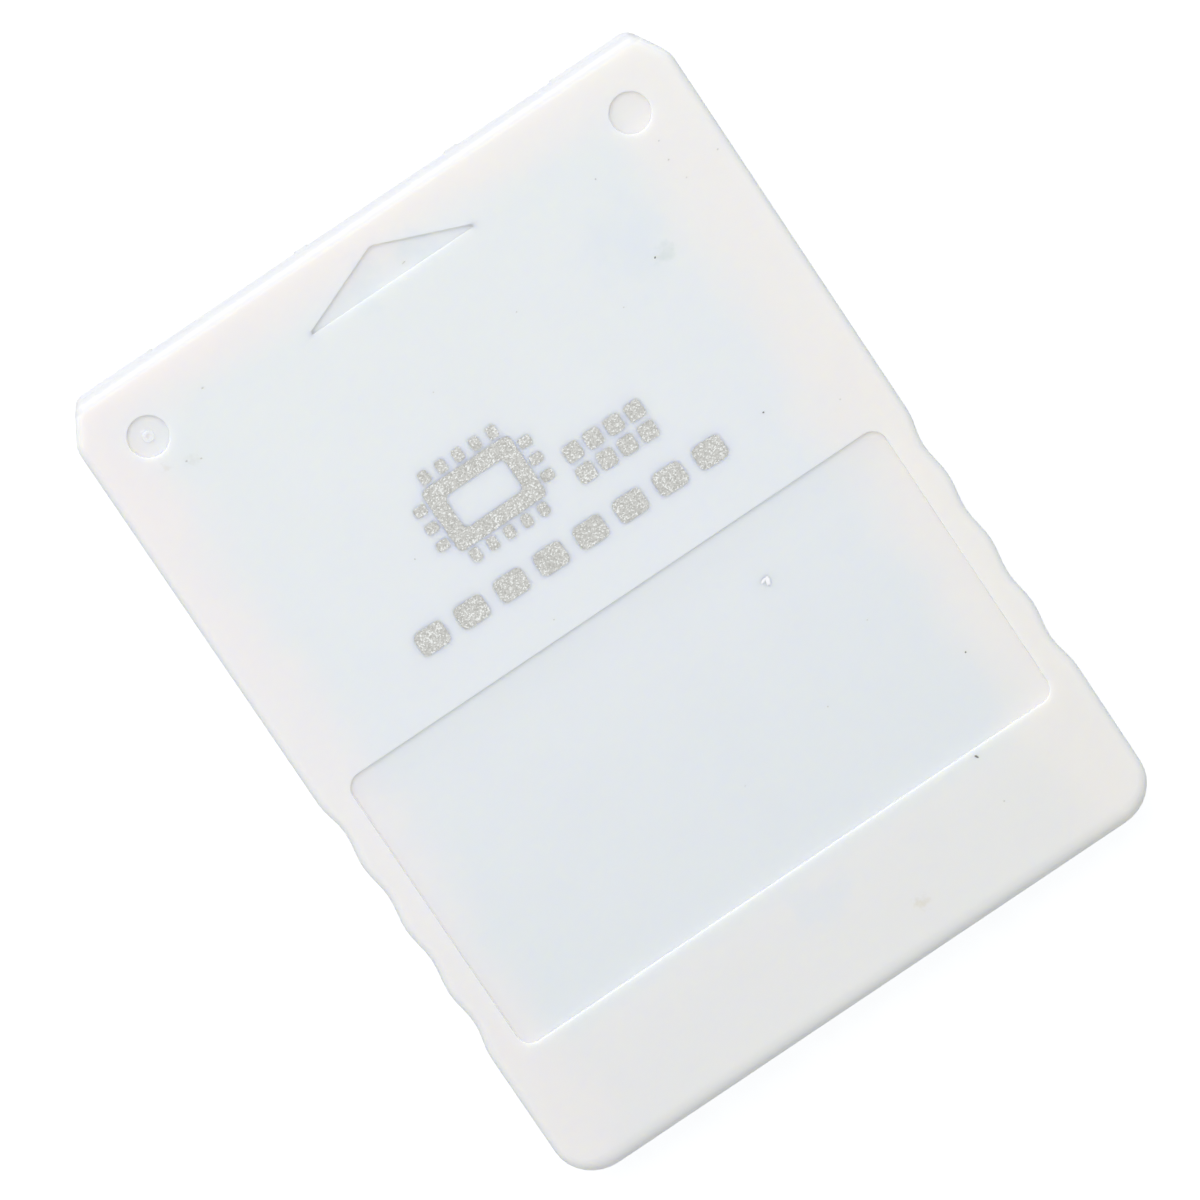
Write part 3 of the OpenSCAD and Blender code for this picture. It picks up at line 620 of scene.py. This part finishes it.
ink = glitter_ink()
bpy.ops.object.select_all(action="DESELECT")
bpy.ops.mesh.primitive_plane_add(size=1, location=(*CHIP_MIDDLE, face_z - INK_SINK))
ring = bpy.context.active_object
bpy.ops.object.mode_set(mode="EDIT")
bpy.ops.transform.resize(value=(*CHIP_SIZE, 1))
bpy.ops.mesh.inset(thickness=CHIP_STROKE, use_even_offset=True)
bpy.ops.mesh.delete(type="FACE")
bpy.ops.mesh.select_all(action="SELECT")
bpy.ops.mesh.bevel(offset=CHIP_CORNER, segments=5, affect="VERTICES")
bpy.ops.object.mode_set(mode="OBJECT")
chip_patches = [ring]
pin_out = CHIP_SIZE[1] / 2 + PIN_GAP + PIN_SIZE[1] / 2
for side in (-1, 1):
    for step in (-2, -1, 0, 1, 2):
        place = (CHIP_MIDDLE[0] + step * 1.2 * MM, CHIP_MIDDLE[1] + side * pin_out)
        chip_patches.append(ink_patch(place, PIN_SIZE, 0.15 * MM))
    for step in (-1, 0, 1):
        across = CHIP_SIZE[0] / 2 + PIN_GAP + PIN_SIZE[1] / 2
        place = (CHIP_MIDDLE[0] + side * across, CHIP_MIDDLE[1] + step * 1.2 * MM)
        chip_patches.append(ink_patch(place, (PIN_SIZE[1], PIN_SIZE[0]), 0.15 * MM))
join_ink(chip_patches, "print_chip")

square_patches = []
for column in range(4):
    for row in range(2):
        place = (
            SQUARES_MIDDLE[0] + (column - 1.5) * SQUARE_PITCH,
            SQUARES_MIDDLE[1] + (row - 0.5) * SQUARE_PITCH,
        )
        square_patches.append(ink_patch(place, (SQUARE_SIZE, SQUARE_SIZE), 0.2 * MM))
join_ink(square_patches, "print_squares")

bar_patches = []
for step in range(BAR_COUNT):
    place = ((step - (BAR_COUNT - 1) / 2) * BAR_PITCH, BARS_Y)
    bar_patches.append(ink_patch(place, BAR_SIZE, 0.35 * MM))
join_ink(bar_patches, "print_bars")


# Dirt: grit and dust caught on the face, and one white chip of plastic.
# Each grain is a flattened lump that lies on the face or on a recess's floor.
GRIT = [
    (13.55, 16.2, 0.07, 0.05, 40),
    (13.8, 5.0, 0.06, 0.05, 0),
    (15.9, -13.7, 0.06, 0.05, 75),
    (13.0, -19.25, 0.15, 0.06, -60),
]
DUST = [
    (-12.8, 24.7, 0.07, 0.05, 0),
    (1.1, 24.2, 0.14, 0.03, 10),
    (-16.0, 21.65, 0.07, 0.05, -30),
    (-15.2, 21.3, 0.08, 0.04, -20),
    (13.2, 22.0, 0.05, 0.05, 0),
    (17.55, 21.8, 0.06, 0.04, 20),
    (17.4, 20.55, 0.06, 0.04, 0),
    (20.15, 19.45, 0.05, 0.04, 60),
    (17.7, 19.1, 0.04, 0.03, 0),
    (-1.7, 16.9, 0.04, 0.03, 0),
    (5.0, 18.1, 0.04, 0.04, 15),
    (10.4, 14.8, 0.04, 0.03, 0),
    (-8.1, 9.3, 0.05, 0.04, 50),
    (18.0, 3.1, 0.05, 0.04, -40),
    (-3.3, 1.7, 0.04, 0.04, 0),
    (12.1, -8.8, 0.04, 0.03, 0),
    (7.3, -11.8, 0.05, 0.04, 30),
    (0.6, -13.0, 0.04, 0.03, 0),
    (12.9, -22.4, 0.05, 0.04, 0),
]


def surface_height(x, y):
    """Height of the face, or of a recess's floor, under a place in metres."""
    in_label = abs(x - LABEL_MIDDLE[0]) < LABEL_HALF[0] and abs(y - LABEL_MIDDLE[1]) < LABEL_HALF[1]
    up_arrow = (y - ARROW_BASE) / ARROW_HEIGHT
    in_arrow = 0 < up_arrow < 1 - abs(x) / ARROW_HALF
    return face_z - RECESS_DEPTH if in_label or in_arrow else face_z


def dry_dirt(name, dark, light):
    material, nodes, links, shader = start_material(name, dark, 0.8)
    cloud = noise(nodes, links, stretched_point(nodes, links), 0.06 * MM, 2)
    links.new(ramp(nodes, links, cloud, [(0.3, dark), (0.7, light)]), shader.inputs["Base Color"])
    return material


def grain(x, y, length, width, turn, height=0.03):
    """One flattened, slightly lumpy grain. Sizes are in millimetres and the turn is in degrees."""
    bpy.ops.object.select_all(action="DESELECT")
    place = (x * MM, y * MM, surface_height(x * MM, y * MM))
    bpy.ops.mesh.primitive_ico_sphere_add(subdivisions=2, radius=1, location=place)
    lump = bpy.context.active_object
    lump.scale = (length * MM, width * MM, height * MM)
    lump.rotation_euler = (0, 0, math.radians(turn))
    bpy.ops.object.mode_set(mode="EDIT")
    bpy.ops.transform.vertex_random(offset=0.22, seed=int(abs(x * 10 + y * 7)) % 97)
    bpy.ops.object.mode_set(mode="OBJECT")
    return lump


def join_grains(lumps, name, material):
    bpy.ops.object.select_all(action="DESELECT")
    for lump in lumps:
        lump.select_set(True)
    bpy.context.view_layer.objects.active = lumps[0]
    bpy.ops.object.transform_apply(location=True, rotation=True, scale=True)
    if len(lumps) > 1:
        bpy.ops.object.join()
    piece = bpy.context.active_object
    piece.name = name
    piece.data.materials.append(material)
    bpy.ops.object.shade_smooth()
    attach(piece, "root")
    return piece


dark_dirt = dry_dirt("dark_grit", (0.1, 0.1, 0.11), (0.32, 0.31, 0.31))
join_grains([grain(*speck) for speck in GRIT], "dirt_grit", dark_dirt)
pale_dirt = dry_dirt("grey_dust", (0.54, 0.53, 0.51), (0.7, 0.69, 0.68))
join_grains([grain(*speck, 0.02) for speck in DUST], "dirt_dust", pale_dirt)


def white_chip():
    material, nodes, links, shader = start_material("white_fleck", (0.95, 0.94, 0.96), 0.5)
    cloud = noise(nodes, links, stretched_point(nodes, links), 0.15 * MM, 2)
    whites = [(0.35, (0.9, 0.88, 0.91)), (0.65, (0.98, 0.97, 0.98))]
    links.new(ramp(nodes, links, cloud, whites), shader.inputs["Base Color"])
    return material


fleck_lumps = [grain(8.5, -3.55, 0.32, 0.15, 70, 0.02), grain(8.28, -3.4, 0.22, 0.1, 20, 0.02)]
join_grains(fleck_lumps, "white_fleck", white_chip())


# Floor, lamps and camera: a plain white sheet under soft studio light, seen from above the insertion end.
# The sheet is bright for the camera and for reflections, and keeps the card's own soft shadow.
def white_sheet():
    material, nodes, links, shader = start_material("white_sheet", (0.3, 0.31, 0.32), 0.9)
    point = stretched_point(nodes, links)
    fibre = noise(nodes, links, point, 2 * MM, 3)
    pales = [(0.3, (0.29, 0.3, 0.31)), (0.7, (0.31, 0.32, 0.33))]
    links.new(ramp(nodes, links, fibre, pales), shader.inputs["Base Color"])
    rays = nodes.new("ShaderNodeLightPath")
    seen = math_node(nodes, links, "MAXIMUM", rays.outputs["Is Camera Ray"], rays.outputs["Is Glossy Ray"])
    seen = math_node(nodes, links, "MAXIMUM", seen, rays.outputs["Is Transmission Ray"])
    glow = nodes.new("ShaderNodeEmission")
    glow.inputs["Color"].default_value = (1, 1, 1, 1)
    links.new(math_node(nodes, links, "MULTIPLY", seen, 0.8), glow.inputs["Strength"])
    both = nodes.new("ShaderNodeAddShader")
    links.new(shader.outputs["BSDF"], both.inputs[0])
    links.new(glow.outputs["Emission"], both.inputs[1])
    links.new(both.outputs["Shader"], nodes["Material Output"].inputs["Surface"])
    return material


bpy.ops.object.select_all(action="DESELECT")
bpy.ops.mesh.primitive_plane_add(size=3, location=(0, 0, -0.05 * MM))
sheet = bpy.context.active_object
sheet.name = "floor_sheet"
sheet.data.materials.append(white_sheet())


def studio_world(strength):
    world = bpy.data.worlds.new("studio")
    bpy.context.scene.world = world
    world.use_nodes = True
    nodes, links = world.node_tree.nodes, world.node_tree.links
    room = nodes["Background"]
    room.inputs["Color"].default_value = (0.92, 0.97, 1, 1)
    room.inputs["Strength"].default_value = strength
    seen = nodes.new("ShaderNodeBackground")
    seen.inputs["Color"].default_value = (1, 1, 1, 1)
    rays = nodes.new("ShaderNodeLightPath")
    camera_rays, glossy_rays = rays.outputs["Is Camera Ray"], rays.outputs["Is Glossy Ray"]
    white_rays = math_node(nodes, links, "MAXIMUM", camera_rays, glossy_rays)
    white_rays = math_node(nodes, links, "MAXIMUM", white_rays, rays.outputs["Is Transmission Ray"])
    choice = nodes.new("ShaderNodeMixShader")
    links.new(white_rays, choice.inputs["Fac"])
    links.new(room.outputs["Background"], choice.inputs[1])
    links.new(seen.outputs["Background"], choice.inputs[2])
    links.new(choice.outputs["Shader"], nodes["World Output"].inputs["Surface"])


def soft_lamp(name, place, size, energy, colour):
    """A square area lamp that faces the card's middle."""
    light = bpy.data.lights.new(name, "AREA")
    light.shape = "SQUARE"
    light.size = size
    light.energy = energy
    light.color = colour
    lamp = bpy.data.objects.new(name, light)
    lamp.location = place
    lamp.rotation_euler = (-Vector(place)).to_track_quat("-Z", "Y").to_euler()
    bpy.context.collection.objects.link(lamp)


studio_world(0.65)
soft_lamp("key_lamp", (-0.03, 0.24, 0.44), 0.3, 1.06, (1, 0.98, 0.96))
soft_lamp("end_lamp", (0, 0.30, 0.035), 0.08, 0.25, (0.93, 0.94, 1))

CAMERA_PLACE = (3.813 * MM, 59.568 * MM, 446.024 * MM)
CAMERA_TURN = (-0.132473, 0.00958, -0.592258)
camera_data = bpy.data.cameras.new("photo_camera")
camera_data.sensor_width = 36
camera_data.lens = 224.436
camera_data.clip_start = 0.01
camera_data.clip_end = 10
camera = bpy.data.objects.new("photo_camera", camera_data)
camera.rotation_mode = "ZXY"
camera.rotation_euler = CAMERA_TURN
camera.location = CAMERA_PLACE
bpy.context.collection.objects.link(camera)
bpy.context.scene.camera = camera
bpy.context.scene.view_settings.view_transform = "Standard"
